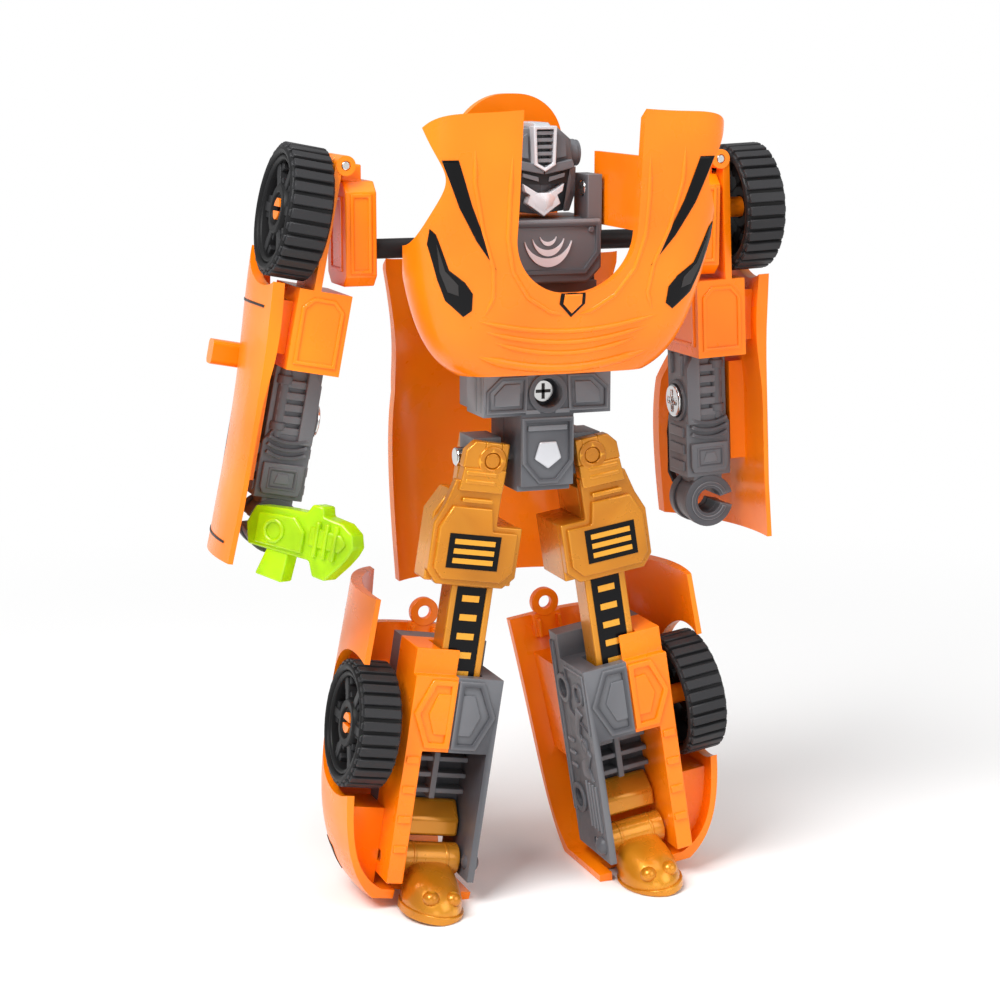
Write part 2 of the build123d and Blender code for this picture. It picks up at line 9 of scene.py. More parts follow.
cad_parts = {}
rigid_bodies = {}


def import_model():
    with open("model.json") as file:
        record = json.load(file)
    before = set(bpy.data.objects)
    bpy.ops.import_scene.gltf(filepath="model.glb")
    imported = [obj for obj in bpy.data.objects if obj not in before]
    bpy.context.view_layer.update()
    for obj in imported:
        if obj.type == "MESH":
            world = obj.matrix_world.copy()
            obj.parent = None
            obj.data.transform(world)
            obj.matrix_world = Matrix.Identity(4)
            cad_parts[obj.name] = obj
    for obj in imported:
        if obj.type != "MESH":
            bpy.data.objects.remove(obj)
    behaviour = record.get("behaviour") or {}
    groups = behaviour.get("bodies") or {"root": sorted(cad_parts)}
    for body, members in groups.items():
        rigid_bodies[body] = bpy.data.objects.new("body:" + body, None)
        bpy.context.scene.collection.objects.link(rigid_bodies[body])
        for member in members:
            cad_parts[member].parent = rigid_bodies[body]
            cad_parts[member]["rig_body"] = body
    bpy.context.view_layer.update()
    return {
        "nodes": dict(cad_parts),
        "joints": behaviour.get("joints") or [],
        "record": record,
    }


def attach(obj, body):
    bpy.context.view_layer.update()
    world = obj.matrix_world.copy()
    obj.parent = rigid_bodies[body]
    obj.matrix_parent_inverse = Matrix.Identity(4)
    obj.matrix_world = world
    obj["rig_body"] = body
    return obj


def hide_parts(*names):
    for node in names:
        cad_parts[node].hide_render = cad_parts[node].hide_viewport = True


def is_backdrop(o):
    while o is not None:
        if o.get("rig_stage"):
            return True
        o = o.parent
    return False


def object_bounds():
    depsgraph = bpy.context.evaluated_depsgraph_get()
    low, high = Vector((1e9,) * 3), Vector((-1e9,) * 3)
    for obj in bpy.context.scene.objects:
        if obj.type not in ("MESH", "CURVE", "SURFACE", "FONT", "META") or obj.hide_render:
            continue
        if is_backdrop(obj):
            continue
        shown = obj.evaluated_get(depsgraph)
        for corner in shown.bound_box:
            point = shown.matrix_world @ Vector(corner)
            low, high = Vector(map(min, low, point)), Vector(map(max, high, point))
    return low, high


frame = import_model()

# Shapes are drawn in millimetres in the car's own place: x across, v height above the
# car's ground, u from tail to nose. A matrix then takes them to the standing robot.
MM = 0.001
AXLE_V = 10.0
FRONT_AXLE_U, REAR_AXLE_U = 108.0, 34.0
FLIP_V, FLIP_U = 5.0, 112.0
FIST, FIST_V = (15.0, 60.5), 7.0
TOE_PIN = (8.0, 13.4)
BELLY_SCREW = (0, 81.4)
NECK_RINGS_U = 105.4
BOOT_X = 7.6

# Angles between faces: what gets a crease or a round edge, on drawn, laid-on and CAD shapes,
# and what still counts as one flat face.
SHARP, BENT, CAD_SHARP = radians(38), radians(60), radians(32)
FLAT_FACES = radians(1.2)
MITRE_LIMIT = 0.35
# Small lengths, steps of round shapes, and where the rays that lay paint and ribs start.
SAME_POINT = 0.004
FLOOR_GAP = 0.02
PAINT_THICK = 0.12
RIB_STEPS, LATHE_STEPS, BOOT_STEPS = 8, 60, 24
FAR_ABOVE, HOOD_TOP = 60.0, 20.0
FAR_OUTSIDE, BEHIND_DOOR = 40.0, 9.0
joints = {joint["name"]: joint for joint in frame["joints"]}
SIDES = {"left": 1, "right": -1}


def car(x, v, u):
    return Vector((x, v - AXLE_V, u)) * MM


def about(point, turn):
    """A turn or a scale with one point left where it is."""
    return Matrix.Translation(point) @ turn @ Matrix.Translation(-point)


hinge = Vector(joints["chest_flip"]["pos_m"])
torso_place = Matrix.Translation(hinge - car(0, FLIP_V, FLIP_U))
chest_place = about(hinge, Matrix.Rotation(pi, 4, "X")) @ torso_place


def shoulder_place(name):
    """At rest the shoulder's pin is drawn out to the slide's far end."""
    out = -Vector(joints[f"{name}_arm_slide"]["axis"]) * joints[f"{name}_arm_slide"]["range_m"][1]
    return Matrix.Translation(out) @ torso_place


def tilt(name, joint):
    """The turn that a sideways joint has at rest, away from the straight folded place."""
    row = joints[f"{name}_{joint}"]
    turn = -radians(row["range_deg"][1]) * row["axis"][1]
    return about(Vector(row["pos_m"]), Matrix.Rotation(turn, 4, "Y"))


def arm_place(name):
    return tilt(name, "arm_lift") @ shoulder_place(name)


def thigh_place(name):
    return tilt(name, "hip_spread") @ torso_place


def shin_place(name):
    """At rest the shin hangs at the slide's lower end."""
    row = joints[f"{name}_leg_slide"]
    down = -Vector(row["axis"]) * row["range_m"][1]
    return Matrix.Translation(down) @ thigh_place(name)


# ---- materials ----
def new_material(name):
    """An empty material, its node tree and its shader."""
    material = bpy.data.materials.new(name)
    material.use_nodes = True
    tree = material.node_tree
    shader = tree.nodes["Principled BSDF"]
    return material, tree, shader


def noise(tree, scale, detail):
    """Noise that stays with the piece when the piece moves."""
    place = tree.nodes.new("ShaderNodeTexCoord")
    node = tree.nodes.new("ShaderNodeTexNoise")
    node.inputs["Scale"].default_value = scale
    node.inputs["Detail"].default_value = detail
    tree.links.new(place.outputs["Object"], node.inputs["Vector"])
    return node


def ramp(tree, source, stops):
    """Turns a value into colours, from (position, colour) stops."""
    node = tree.nodes.new("ShaderNodeValToRGB")
    while len(node.color_ramp.elements) < len(stops):
        node.color_ramp.elements.new(0.5)
    for element, (position, color) in zip(node.color_ramp.elements, stops):
        element.position = position
        element.color = (*color, 1.0)
    tree.links.new(source, node.inputs["Fac"])
    return node


def moulded(name, dark, light, roughness, grain=900.0, bump=0.05, coat=0.0, metal=0.0, edge_highlight_and_wear=None,
            shine=0.3):
    """Moulded plastic: slow colour drift, fine grain and a lighter rim at convex edges, which is painted
    highlight and wear.
    """
    material, tree, shader = new_material(name)
    drift = noise(tree, 55.0, 2.0)
    color = ramp(tree, drift.outputs["Fac"], [(0.3, dark), (0.7, light)]).outputs["Color"]
    # The lighter rim where edges are pointy is painted highlight and wear, mixed into the base colour.
    if edge_highlight_and_wear:
        shape = tree.nodes.new("ShaderNodeNewGeometry")
        edge = ramp(tree, shape.outputs["Pointiness"], [(0.53, (0, 0, 0)), (0.60, (1, 1, 1))])
        mix = tree.nodes.new("ShaderNodeMix")
        mix.data_type = "RGBA"
        mix.inputs["B"].default_value = (*edge_highlight_and_wear, 1.0)
        tree.links.new(edge.outputs["Color"], mix.inputs["Factor"])
        tree.links.new(color, mix.inputs["A"])
        color = mix.outputs["Result"]
    tree.links.new(color, shader.inputs["Base Color"])
    gloss = noise(tree, 160.0, 4.0)
    spread = ramp(tree, gloss.outputs["Fac"],
                  [(0.3, (roughness * 0.8,) * 3), (0.7, (roughness * 1.25,) * 3)])
    tree.links.new(spread.outputs["Color"], shader.inputs["Roughness"])
    fine = noise(tree, grain, 5.0)
    raised = tree.nodes.new("ShaderNodeBump")
    raised.inputs["Strength"].default_value = bump
    raised.inputs["Distance"].default_value = 0.0002
    tree.links.new(fine.outputs["Fac"], raised.inputs["Height"])
    tree.links.new(raised.outputs["Normal"], shader.inputs["Normal"])
    shader.inputs["Specular IOR Level"].default_value = shine
    shader.inputs["Coat Weight"].default_value = coat
    shader.inputs["Coat Roughness"].default_value = 0.06
    shader.inputs["Metallic"].default_value = metal
    return material


def glowing_translucent(name, color):
    """Clear bright plastic that lets some light through and gives off a faint painted glow of its own
    colour.
    """
    material, tree, shader = new_material(name)
    drift = noise(tree, 220.0, 3.0)
    shade = ramp(tree, drift.outputs["Fac"], [(0.35, tuple(c * 0.72 for c in color)), (0.65, color)])
    tree.links.new(shade.outputs["Color"], shader.inputs["Base Color"])
    shader.inputs["Transmission Weight"].default_value = 0.35
    shader.inputs["Roughness"].default_value = 0.22
    shader.inputs["IOR"].default_value = 1.45
    shader.inputs["Subsurface Weight"].default_value = 0.5
    shader.inputs["Subsurface Radius"].default_value = (0.6, 1.0, 0.15)
    shader.inputs["Subsurface Scale"].default_value = 0.004
    # A painted glow: the plastic gives off a little light of its own colour, though it is no lamp.
    shader.inputs["Emission Color"].default_value = (*color, 1.0)
    shader.inputs["Emission Strength"].default_value = 0.12
    return material


ORANGE = moulded("orange_plastic", (0.96, 0.185, 0.001), (1.0, 0.24, 0.002), 0.30, bump=0.03,
                 coat=0.15)
# The grey, black and gold plastics get a lighter rim at their edges: painted highlight and wear.
GREY = moulded("grey_plastic", (0.055, 0.056, 0.064), (0.085, 0.087, 0.097), 0.40, bump=0.10,
               edge_highlight_and_wear=(0.20, 0.205, 0.22))
# The dark plastic also makes the belly screw's cross, as painted shade.
DARK = moulded("dark_plastic_and_shade", (0.020, 0.018, 0.018), (0.034, 0.031, 0.031), 0.5, bump=0.10)
BLACK = moulded("black_plastic", (0.006, 0.006, 0.006), (0.011, 0.011, 0.012), 0.42, bump=0.08,
                edge_highlight_and_wear=(0.03, 0.03, 0.032), shine=0.15)
BLACK_PAINT = moulded("black_paint", (0.003, 0.003, 0.003), (0.005, 0.005, 0.006), 0.2, bump=0.02,
                      shine=0.15)
BROWN_PAINT = moulded("window_inside", (0.085, 0.014, 0.004), (0.15, 0.03, 0.008), 0.45, grain=300.0)
SILVER = moulded("silver_paint", (0.50, 0.51, 0.54), (0.68, 0.69, 0.72), 0.3, metal=0.25)
WHITE = moulded("white_paint", (0.72, 0.72, 0.76), (0.82, 0.82, 0.86), 0.4)
STEEL = moulded("steel", (0.55, 0.55, 0.55), (0.72, 0.71, 0.70), 0.16, metal=1.0)
GOLD = moulded("gold_plastic", (0.36, 0.115, 0.004), (0.66, 0.235, 0.010), 0.28, grain=2400.0, bump=0.05,
               coat=0.3, metal=0.4, edge_highlight_and_wear=(0.80, 0.36, 0.03))
NEON = glowing_translucent("green_plastic", (0.48, 0.80, 0.004))
NODE_MATERIAL = {
    "orange_plastic": ORANGE, "grey_plastic": GREY, "gold_plastic": GOLD, "steel_screw": STEEL,
    "black_plastic": BLACK, "silver_paint": SILVER, "green_plastic": NEON,
}


# ---- building shapes ----
def smooth(mesh, angle=SHARP):
    """Smooth shading with creases where faces meet at more than an angle."""
    mesh.polygons.foreach_set("use_smooth", [True] * len(mesh.polygons))
    mesh.set_sharp_from_angle(angle=angle)


def soften(piece, width, segments):
    """Rounds a piece's sharp edges, as a mould does."""
    bevel = piece.modifiers.new("bevel", "BEVEL")
    bevel.width = width * MM
    bevel.segments = segments
    bevel.limit_method = "ANGLE"
    bevel.angle_limit = SHARP
    bevel.miter_outer = "MITER_ARC"
    bevel.harden_normals = False


def circle(radius, start, sweep, steps, count):
    """Points round a circle, a step of the sweep apart."""
    turns = [radians(start + sweep * i / steps) for i in range(count)]
    return [(radius * cos(t), radius * sin(t)) for t in turns]


class Shape:
    """Collects solids in one mesh, drawn in the car's place on one side of the middle."""

    def __init__(self, side=1):
        self.mesh = bmesh.new()
        self.side = side

    def point(self, x, v, u):
        return car(self.side * x, v, u)

    def loop(self, outline, depth, plane, centre=(0.0, 0.0)):
        """New points along an outline that lies in one plane, at one depth."""
        place = {
            "xu": lambda a, b: self.point(a, depth, b),
            "vu": lambda a, b: self.point(depth, a, b),
            "xv": lambda a, b: self.point(a, b, depth),
        }[plane]
        return [self.mesh.verts.new(place(centre[0] + a, centre[1] + b)) for a, b in outline]

    def join(self, loops, whole=True):
        """Faces between each loop and the next, and from the last one back to the first."""
        count = len(loops[0])
        for loop, other in zip(loops, loops[1:] + loops[:1]):
            for i in range(count if whole else count - 1):
                j = (i + 1) % count
                self.mesh.faces.new([loop[i], loop[j], other[j], other[i]])

    def box(self, x, v, u):
        corners = [self.point(a, b, c) for a in x for b in v for c in u]
        verts = [self.mesh.verts.new(p) for p in corners]
        for face in ((0, 1, 3, 2), (4, 6, 7, 5), (0, 4, 5, 1), (2, 3, 7, 6), (0, 2, 6, 4), (1, 5, 7, 3)):
            self.mesh.faces.new([verts[i] for i in face])

    def prism(self, outline, span, plane="xu", centre=(0.0, 0.0)):
        """An outline in one plane, drawn along the third direction over a span."""
        near, far = [self.loop(outline, depth, plane, centre) for depth in span]
        self.mesh.faces.new(near)
        self.mesh.faces.new(list(reversed(far)))
        for i in range(len(outline)):
            j = (i + 1) % len(outline)
            self.mesh.faces.new([near[j], near[i], far[i], far[j]])

    def rod(self, centre, radius, span, plane="xu", steps=28):
        self.prism(circle(radius, 0.0, 360.0, steps, steps), span, plane, centre)

    def ring(self, centre, outer, inner, span, plane="xu", start=0.0, sweep=360.0, steps=40):
        """A flat ring or part of one, such as a boss, a rim or a hook."""
        whole = sweep >= 360.0
        count = steps if whole else steps + 1
        loops = [
            self.loop(circle(radius, start, sweep, steps, count), depth, plane, centre)
            for radius, depth in ((outer, span[0]), (outer, span[1]), (inner, span[1]), (inner, span[0]))
        ]
        self.join(loops, whole)
        if not whole:
            self.mesh.faces.new([loop[0] for loop in loops])
            self.mesh.faces.new([loop[-1] for loop in reversed(loops)])

    def lathe(self, profile, centre, plane="vu"):
        """A closed profile of (radius, depth) points turned once round a centre."""
        self.join([self.loop(circle(radius, 0.0, 360.0, LATHE_STEPS, LATHE_STEPS), depth, plane, centre)
                   for radius, depth in profile])

    def around(self, centre, count, low, high, half, span):
        """Equal bars standing out from a centre, such as spokes or tread blocks."""
        for i in range(count):
            turn = radians(360.0 * i / count)
            corners = []
            for depth in span:
                for r, w in ((low, -half), (high, -half), (high, half), (low, half)):
                    a, b = r * cos(turn) - w * sin(turn), r * sin(turn) + w * cos(turn)
                    spot = self.point(depth, centre[0] + a, centre[1] + b)
                    corners.append(self.mesh.verts.new(spot))
            for face in ((0, 1, 2, 3), (7, 6, 5, 4), (0, 4, 5, 1), (1, 5, 6, 2), (2, 6, 7, 3),
                         (3, 7, 4, 0)):
                self.mesh.faces.new([corners[k] for k in face])

    def band(self, outline, width, span, plane="xu"):
        """A raised frame that follows a closed outline, drawn inwards from it."""
        spots = [Vector(p) for p in outline]
        area = sum(a.x * b.y - b.x * a.y for a, b in zip(spots, spots[1:] + spots[:1]))
        turn = 1 if area > 0 else -1
        inner = []
        for before, spot, after in zip(spots[-1:] + spots[:-1], spots, spots[1:] + spots[:1]):
            first, second = (spot - before).normalized(), (after - spot).normalized()
            normals = [Vector((-turn * way.y, turn * way.x)) for way in (first, second)]
            half = (normals[0] + normals[1]).normalized()
            inner.append(spot + half * width / max(MITRE_LIMIT, half.dot(normals[0])))
        sides = ((spots, span[0]), (spots, span[1]), (inner, span[1]), (inner, span[0]))
        self.join([self.loop(points, depth, plane) for points, depth in sides])

    def hull(self, points):
        """The convex solid round some (x, v, u) points."""
        verts = [self.mesh.verts.new(self.point(*p)) for p in points]
        made = bmesh.ops.convex_hull(self.mesh, input=verts)
        unused = made["geom_interior"] + made["geom_unused"]
        spare = [v for v in unused if isinstance(v, bmesh.types.BMVert)]
        bmesh.ops.delete(self.mesh, geom=list(set(spare)), context="VERTS")

    def cut_at_floor(self, place):
        """Takes away what would reach below the floor once it stands in its place."""
        there = place.inverted()
        up = (there.to_3x3() @ Vector((0, 0, 1))).normalized()
        geometry = self.mesh.verts[:] + self.mesh.edges[:] + self.mesh.faces[:]
        floor_point = there @ Vector((0, 0, FLOOR_GAP * MM))
        cut = bmesh.ops.bisect_plane(self.mesh, geom=geometry, plane_co=floor_point, plane_no=up,
                                     clear_inner=True)
        edges = [e for e in cut["geom_cut"] if isinstance(e, bmesh.types.BMEdge)]
        bmesh.ops.holes_fill(self.mesh, edges=edges)

    def ball(self, centre, radii):
        made = bmesh.ops.create_uvsphere(self.mesh, u_segments=24, v_segments=14, radius=1.0)
        middle = self.point(*centre)
        for vert in made["verts"]:
            vert.co = middle + Vector([c * r * MM for c, r in zip(vert.co, radii)])

    def finish(self, name, material, body, place, round_edges=0.15, segments=2, instead=()):
        """Turns the solids into a piece of one body, carried from the car's place to its own."""
        mesh = bpy.data.meshes.new(name)
        bmesh.ops.recalc_face_normals(self.mesh, faces=self.mesh.faces)
        self.mesh.to_mesh(mesh)
        self.mesh.free()
        mesh.transform(place)
        smooth(mesh)
        publish(name, mesh, material, body, round_edges, segments, instead)


def publish(name, mesh, material, body, round_edges=0.0, segments=2, instead=()):
    """Puts a finished mesh in the scene as a named piece of one body."""
    piece = bpy.data.objects.new(name, mesh)
    bpy.context.scene.collection.objects.link(piece)
    mesh.materials.append(material)
    if round_edges:
        soften(piece, round_edges, segments)
    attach(piece, body)
    if instead:
        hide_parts(*instead)
    return piece


def surface(node):
    """A CAD node's faces, for casting rays at."""
    mesh = frame["nodes"][node].data
    return BVHTree.FromPolygons([v.co for v in mesh.vertices], [p.vertices for p in mesh.polygons])


def cast(tree, origin, way, near):
    """Where a ray meets a surface and the normal on the ray's side, or else the closest spot."""
    hit, normal, _, _ = tree.ray_cast(origin, way)
    if hit is None:
        hit, normal, _, _ = tree.find_nearest(near)
    return hit, -normal if normal.dot(way) > 0 else normal


def decal(name, outline, node, body, place, material, side=1, look="down", start=FAR_ABOVE, lift=0.07,
          cuts=4):
    """A painted patch: an outline laid on a CAD surface. look is the way it is pressed on."""
    flat = bmesh.new()
    if look == "down":
        spots = [(side * a, start, b) for a, b in outline]
        way = Vector((0, -1, 0))
    else:
        spots = [(side * start, a, b) for a, b in outline]
        way = Vector((-side if look == "in" else side, 0, 0))
    face = flat.faces.new([flat.verts.new(car(*spot)) for spot in spots])
    bmesh.ops.triangulate(flat, faces=[face])
    for _ in range(cuts):
        bmesh.ops.subdivide_edges(flat, edges=flat.edges[:], cuts=1, use_grid_fill=True)
    tree = surface(node)
    way = place.to_3x3() @ way
    for vert in flat.verts:
        origin = place @ vert.co
        hit, normal = cast(tree, origin, way, origin + way * start * MM * 0.5)
        vert.co = hit + normal * lift * MM
    mesh = bpy.data.meshes.new(name)
    flat.to_mesh(mesh)
    flat.free()
    smooth(mesh, BENT)
    piece = publish(name, mesh, material, body)
    solid = piece.modifiers.new("thickness", "SOLIDIFY")
    solid.thickness = PAINT_THICK * MM
    solid.offset = 0.0


def rib(name, path, node, body, place, material, radius, sink):
    """A raised line that follows a CAD surface through (x, u) points and thins out at its ends."""
    tree = surface(node)
    way = place.to_3x3() @ Vector((0, -1, 0))
    points = [(x0 + (x1 - x0) * i / RIB_STEPS, u0 + (u1 - u0) * i / RIB_STEPS)
              for (x0, u0), (x1, u1) in zip(path[:-1], path[1:]) for i in range(RIB_STEPS)]
    points.append(path[-1])
    curve = bpy.data.curves.new(name, "CURVE")
    curve.dimensions = "3D"
    curve.bevel_depth = radius * MM
    curve.bevel_resolution = 3
    curve.use_fill_caps = True
    line = curve.splines.new("POLY")
    line.points.add(len(points) - 1)
    for i, (x, u) in enumerate(points):
        hit, normal = cast(tree, place @ car(x, FAR_ABOVE, u), way, place @ car(x, HOOD_TOP, u))
        line.points[i].co = (*(hit - normal * sink * MM), 1.0)
        t = i / (len(points) - 1)
        line.points[i].radius = min(1.0, 0.15 + 6 * min(t, 1 - t))
    maker = bpy.data.objects.new(name + "_maker", curve)
    bpy.context.scene.collection.objects.link(maker)
    bpy.context.view_layer.update()
    mesh = bpy.data.meshes.new_from_object(maker)
    bpy.data.objects.remove(maker)
    mesh.materials.clear()
    smooth(mesh, BENT)
    publish(name, mesh, material, body)


def dressed(node, material, width):
    """A copy of a CAD node with rounded edges, which stands for it."""
    source = frame["nodes"][node]
    slot = next(p["material_slot"] for p in frame["record"]["subparts"] if p["node"] == node)
    mesh = source.data.copy()
    mesh.name = node + "_mesh"
    mesh.materials.clear()
    work = bmesh.new()
    work.from_mesh(mesh)
    bmesh.ops.remove_doubles(work, verts=work.verts, dist=SAME_POINT * MM)
    bmesh.ops.dissolve_limit(work, angle_limit=FLAT_FACES, verts=work.verts, edges=work.edges)
    work.to_mesh(mesh)
    work.free()
    smooth(mesh, CAD_SHARP)
    publish(node + "_shape", mesh, material or NODE_MATERIAL[slot], source["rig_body"], width,
            instead=[node])


# ---- carried-over CAD shapes ----
REPLACED = {"blaster", "head", "head_crest", "visor", "face_mask", "neck_rings"}
REPLACED |= {f"{name}_{part}" for name in SIDES
             for part in ("front_wheel", "rear_wheel", "thigh", "forearm", "toe")}
EDGE_WIDTH = {"neck_block": 0.5, "torso_front": 0.35, "torso_back": 0.35}
for name in SIDES:
    EDGE_WIDTH |= {
        f"{name}_upper_arm": 0.7, f"{name}_shoulder_block": 0.5,
        f"{name}_ankle": 0.7, f"{name}_shin": 0.35, f"{name}_shin_frame": 0.45, f"{name}_mirror": 0.3,
    }
PIN_SHORTENING = 0.975
NODE_PAINT = {f"{name}_hip_pins": GOLD for name in SIDES}
for node in sorted(frame["nodes"]):
    if node not in REPLACED:
        dressed(node, NODE_PAINT.get(node), EDGE_WIDTH.get(node, 0.2))

# The hinge pins' ends stay clear of the shoulder blocks when these slide in.
bpy.data.objects["chest_hinge_pins_shape"].data.transform(
    about(hinge, Matrix.Scale(PIN_SHORTENING, 4, Vector((1, 0, 0)))))

# ---- chest ----
HOOD = ("chest_shell", "chest", chest_place)
for name, side in SIDES.items():
    decal(f"{name}_headlight",
          [(22.2, 116.4), (21.4, 117.2), (19.3, 122.4), (16.8, 124.3), (15.5, 126.0), (15.4, 128.5),
           (16.6, 129.4), (19.4, 126.9), (20.7, 123.8), (22.3, 118.6)],
          *HOOD, BLACK_PAINT, side)
    decal(f"{name}_lamp_glass",
          [(21.2, 118.6), (19.8, 122.5), (17.8, 124.6), (17.6, 126.2), (19.2, 125.6), (20.5, 122.6)],
          *HOOD, DARK, side, lift=0.15)
    decal(f"{name}_hood_slash",
          [(21.2, 106.6), (18.8, 106.6), (16.6, 113.0), (14.4, 118.0), (12.2, 122.6), (15.6, 118.2),
           (18.4, 113.4)],
          *HOOD, BLACK_PAINT, side)
    rib(f"{name}_hood_crease",
        [(side * x, u) for x, u in ((10.6, 103), (10.9, 112), (10.8, 118), (9.6, 123), (6.8, 127),
                                   (3.2, 129.2), (0.2, 129.9))],
        *HOOD, ORANGE, 0.42, sink=0.18)
    rib(f"{name}_fender_crease",
        [(side * x, u) for x, u in ((16.4, 103), (16.2, 110), (14.6, 117), (12.6, 122.4),
                                   (12.2, 126.8), (13.8, 130.6))],
        *HOOD, ORANGE, 0.42, sink=0.2)


def bow(half, front, depth):
    """A line across the bumper that bends back towards its ends."""
    return [(half * t / 8, front - depth * (t / 8) ** 2) for t in range(-8, 9)]


for i, (half, front) in enumerate(((15.0, 132.2), (13.6, 133.9), (12.0, 135.6))):
    rib(f"grille_bar_{i}", bow(half, front, 2.2), *HOOD, ORANGE, 0.46, sink=0.12)
rib("bumper_lip", bow(14.6, 138.0, 2.6), *HOOD, ORANGE, 0.85, sink=0.3)
SHIELD = [(-1.9, 126.0), (1.9, 126.0), (2.0, 128.0), (0.0, 130.0), (-2.0, 128.0)]
SHIELD_U, SHIELD_INSIDE = 127.8, 0.72
decal("hood_badge_rim", SHIELD, *HOOD, BLACK_PAINT, cuts=3)
decal("hood_badge",
      [(x * SHIELD_INSIDE, SHIELD_U + (u - SHIELD_U) * SHIELD_INSIDE) for x, u in SHIELD],
      *HOOD, ORANGE, lift=0.2, cuts=3)

# ---- neck ----
rings = Shape()
for radius, fat in ((3.9, 1.3), (2.6, 0.95), (1.35, 0.6)):
    deep = 1.25 * radius
    outer = [(radius * cos(radians(a)), deep * sin(radians(a))) for a in range(192, 349, 4)]
    inner = [(radius * cos(radians(a)), (deep - fat) * sin(radians(a))) for a in range(344, 195, -4)]
    rings.prism(outer + inner, (1.28, 1.7), centre=(0.0, NECK_RINGS_U))
rings.finish("neck_crescents", WHITE, "torso", torso_place, 0.0, instead=["neck_rings"])
collar = Shape()
collar.band([(-8.5, 107.3), (8.5, 107.3), (8.5, 102.4), (6.1, 99.3), (-6.1, 99.3), (-8.5, 102.4)],
            0.8, (1.15, 1.9))
for x in (-7.0, 7.0):
    collar.rod((x, 106.0), 0.5, (1.2, 1.8), steps=16)
collar.finish("neck_collar", GREY, "torso", torso_place)

# ---- head: a plain faceted helmet ----
skull = Shape()
for s in (1, -1):
    skull.hull([(s * x, v, u) for x, v, u in (
        (0, 4.2, 121.2), (2.7, 4.6, 121.2), (2.7, 12.2, 121.4), (0, 12.4, 121.6), (5.2, 5.6, 119.4),
        (5.5, 12.4, 118.6), (5.7, 6.2, 115.4), (5.7, 13.4, 112.4), (0, 4.3, 115.2), (4.9, 4.6, 115.3),
        (0, 13.8, 113.0), (3.6, 13.2, 108.4), (0, 13.2, 108.4), (4.4, 6.4, 108.6), (0, 5.6, 108.2))])
    skull.hull([(s * x, v, u) for x, v, u in (
        (4.3, 3.5, 115.2), (5.7, 4.6, 115.4), (5.7, 6.6, 114.8), (4.5, 3.9, 111.6), (5.9, 5.4, 111.2),
        (3.5, 4.3, 108.8), (4.9, 5.2, 108.6), (4.6, 7.0, 108.4), (5.9, 7.4, 111.6))])
    skull.prism([(s * x, u) for x, u in ((0.1, 114.3), (3.4, 114.9), (4.9, 115.3), (4.5, 116.5),
                                        (2.9, 116.2), (0.1, 115.6))], (2.95, 4.8))
    for u in (109.9, 111.3, 112.7):
        skull.box((s * 5.55, s * 6.05), (7.6, 11.6), (u, u + 0.7))
    skull.rod((8.6, 117.2), 2.1, (s * 5.3, s * 6.9), "vu")
    skull.ring((8.6, 117.2), 2.0, 1.3, (s * 6.8, s * 7.4), "vu")
    skull.rod((8.6, 117.2), 0.7, (s * 6.8, s * 7.3), "vu", steps=16)
skull.finish("helmet", GREY, "torso", torso_place, 0.14, instead=["head"])
eyes = Shape()
eyes.hull([(s * x, v, u) for s in (1, -1) for x, v, u in (
    (0, 3.5, 112.7), (0, 3.3, 114.4), (4.3, 3.9, 112.9), (4.4, 3.8, 115.0), (4.3, 5, 114),
    (0, 5, 113.5))])
eyes.finish("visor_band", BLACK, "torso", torso_place, 0.1, instead=["visor"])
slits = Shape()
for s in (1, -1):
    slits.prism([(s * x, u) for x, u in ((0.8, 113.2), (3.3, 113.9), (3.4, 114.5), (0.9, 113.9))],
                (3.22, 3.9))
slits.finish("eye_slits", GREY, "torso", torso_place, 0.05)
mask = Shape()
cheek = [(1.3, 111.7), (3.3, 112.9), (3.0, 111.7), (2.2, 111.2), (2.7, 109.9), (1.8, 109.3)]
mask.prism([(0, 111.2), *cheek, (0, 108.0), *((-x, u) for x, u in reversed(cheek))], (3.2, 5.2))
mask.hull([(s * x, v, u) for s in (1, -1) for x, v, u in (
    (0, 2.65, 110.6), (0, 3.3, 111.2), (1.3, 3.3, 111.6), (2.2, 3.3, 110.9), (1.7, 3.3, 109.5),
    (0, 3.3, 108.3))])
mask.finish("mouth_plate", SILVER, "torso", torso_place, 0.1, instead=["face_mask"])
crest = Shape()
crest.band([(-1.7, 115.7), (0.0, 114.7), (1.7, 115.7), (1.9, 121.5), (-1.9, 121.5)], 0.5, (2.62, 4.8))
crest.prism([(2.7, 121.0), (4.6, 121.95), (11.6, 121.95), (12.4, 121.2)], (-1.25, 1.25), "vu")
crest.finish("crest_frame", SILVER, "torso", torso_place, 0.12, instead=["head_crest"])
rungs = Shape()
for step in range(5):
    low_u = 116.1 + 1.02 * step
    rungs.box((-1.45, 1.45), (2.95, 4.6), (low_u, low_u + 0.55))
for s in (1, -1):
    rungs.prism([(s * 2.2, 116.6), (s * 3.9, 116.9), (s * 3.7, 119.4), (s * 2.4, 120.4)], (3.9, 4.8))
rungs.finish("crest_rungs", GREY, "torso", torso_place, 0.06)

